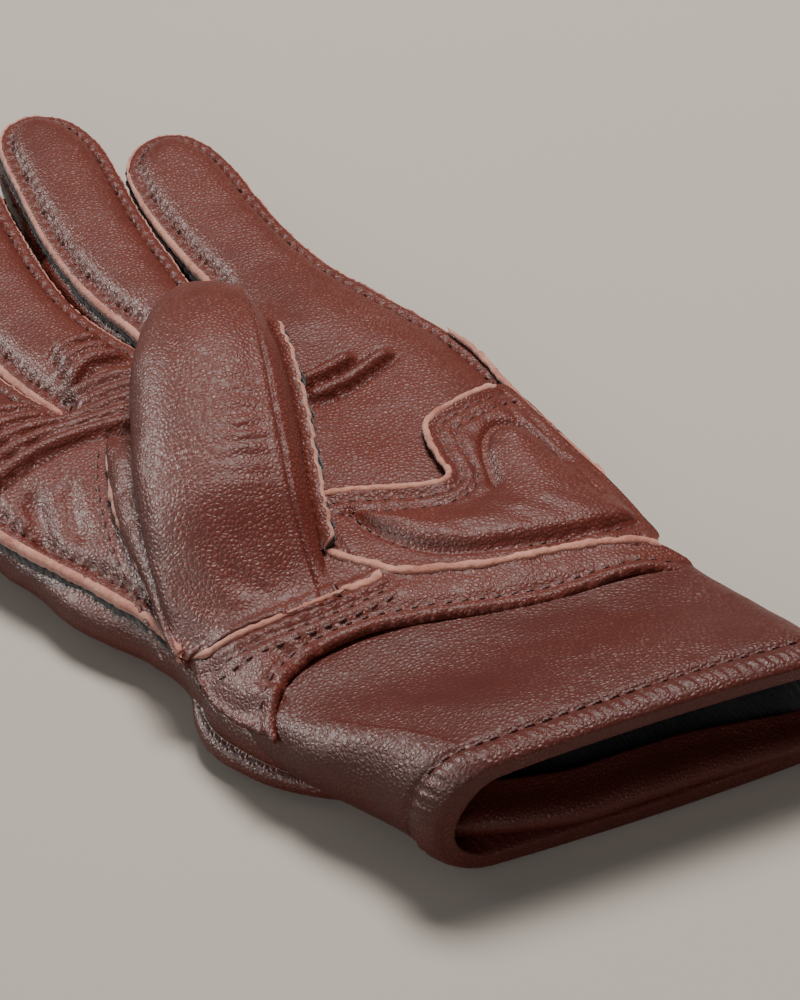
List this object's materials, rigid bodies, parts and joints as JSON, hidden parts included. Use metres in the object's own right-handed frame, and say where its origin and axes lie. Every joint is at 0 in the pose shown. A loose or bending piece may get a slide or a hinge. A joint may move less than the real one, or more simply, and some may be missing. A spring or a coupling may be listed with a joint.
{
  "type": "outseam leather glove with padded palm",
  "caption": "Left-hand outseam leather glove lying palm up, with padded heel patch, ribbed knuckle line, short cuff and bending fingers and thumb.",
  "frame": {"origin": "centre of the glove's footprint, on the surface that its back rests on", "axes": "+Y towards the fingertips, +X towards the little finger, +Z out of the palm"},
  "size_m": [0.1223, 0.25, 0.042],
  "materials": {
    "leather": "pebbled full-grain leather, oxblood brown, with pale pink raw cut edges",
    "knit_lining": "black knitted fleece lining",
    "thread": "dark red waxed polyester thread",
    "foam": "closed-cell grey foam, hidden under the heel patch"
  },
  "bodies": {
    "hand": {"palm_panel": "leather", "back_panel": "leather", "radial_side_strip": "leather", "ulnar_side_strip": "leather", "heel_patch": "leather", "heel_foam_pad": "foam", "flex_rib_cords": "leather", "thumb_quirk": "leather", "wrist_band": "leather", "wrist_strap": "leather", "palm_lining": "knit_lining", "back_lining": "knit_lining", "palm_stitching": "thread"},
    "index_lower": {"index_lower_front": "leather", "index_lower_back": "leather", "index_lower_sides": "leather", "index_lower_lining": "knit_lining"},
    "index_upper": {"index_upper_front": "leather", "index_upper_back": "leather", "index_upper_sides": "leather", "index_upper_lining": "knit_lining"},
    "middle_lower": {"middle_lower_front": "leather", "middle_lower_back": "leather", "middle_lower_sides": "leather", "middle_lower_lining": "knit_lining"},
    "middle_upper": {"middle_upper_front": "leather", "middle_upper_back": "leather", "middle_upper_sides": "leather", "middle_upper_lining": "knit_lining"},
    "ring_lower": {"ring_lower_front": "leather", "ring_lower_back": "leather", "ring_lower_sides": "leather", "ring_lower_lining": "knit_lining"},
    "ring_upper": {"ring_upper_front": "leather", "ring_upper_back": "leather", "ring_upper_sides": "leather", "ring_upper_lining": "knit_lining"},
    "little_lower": {"little_lower_front": "leather", "little_lower_back": "leather", "little_lower_sides": "leather", "little_lower_lining": "knit_lining"},
    "little_upper": {"little_upper_front": "leather", "little_upper_back": "leather", "little_upper_sides": "leather", "little_upper_lining": "knit_lining"},
    "thumb": {"thumb_outer": "leather", "thumb_inner": "leather", "thumb_sides": "leather", "thumb_lining": "knit_lining"},
    "cuff": {"cuff_front": "leather", "cuff_back": "leather", "cuff_radial_side": "leather", "cuff_ulnar_side": "leather", "cuff_hem": "leather", "cuff_facing": "leather", "cuff_stitching": "thread"}
  },
  "joints": [
    {"name": "index_base_bend", "type": "hinge", "parent": "hand", "child": "index_lower", "pos_m": [-0.0475, 0.02, 0.0183], "axis": [1, 0, 0], "range_deg": [0, 60]},
    {"name": "index_knuckle_bend", "type": "hinge", "parent": "index_lower", "child": "index_upper", "pos_m": [-0.04856, 0.06043, 0.0183], "axis": [1, 0, 0], "range_deg": [0, 60]},
    {"name": "middle_base_bend", "type": "hinge", "parent": "hand", "child": "middle_lower", "pos_m": [-0.023, 0.028, 0.0183], "axis": [1, 0, 0], "range_deg": [0, 60]},
    {"name": "middle_knuckle_bend", "type": "hinge", "parent": "middle_lower", "child": "middle_upper", "pos_m": [-0.02338, 0.07108, 0.0183], "axis": [1, 0, 0], "range_deg": [0, 60]},
    {"name": "ring_base_bend", "type": "hinge", "parent": "hand", "child": "ring_lower", "pos_m": [0.002, 0.029, 0.0183], "axis": [1, 0, 0], "range_deg": [0, 60]},
    {"name": "ring_knuckle_bend", "type": "hinge", "parent": "ring_lower", "child": "ring_upper", "pos_m": [0.00374, 0.06896, 0.0183], "axis": [1, 0, 0], "range_deg": [0, 60]},
    {"name": "little_base_bend", "type": "hinge", "parent": "hand", "child": "little_lower", "pos_m": [0.029, 0.028, 0.0183], "axis": [1, 0, 0], "range_deg": [0, 60]},
    {"name": "little_knuckle_bend", "type": "hinge", "parent": "little_lower", "child": "little_upper", "pos_m": [0.03007, 0.05874, 0.0183], "axis": [1, 0, 0], "range_deg": [0, 60]},
    {"name": "thumb_lift", "type": "hinge", "parent": "hand", "child": "thumb", "pos_m": [-0.03834, -0.05361, 0.0217], "axis": [0.7986, -0.6018, 0], "range_deg": [0, 50]},
    {"name": "wrist_bend", "type": "hinge", "parent": "hand", "child": "cuff", "pos_m": [0.0125, -0.0797, 0.0262], "axis": [-0.9924, 0.1227, 0], "range_deg": [0, 25]}
  ],
  "couplings": [
    {"joint": "index_knuckle_bend", "follows": "index_base_bend", "ratio": 1},
    {"joint": "middle_knuckle_bend", "follows": "middle_base_bend", "ratio": 1},
    {"joint": "ring_knuckle_bend", "follows": "ring_base_bend", "ratio": 1},
    {"joint": "little_knuckle_bend", "follows": "little_base_bend", "ratio": 1}
  ]
}
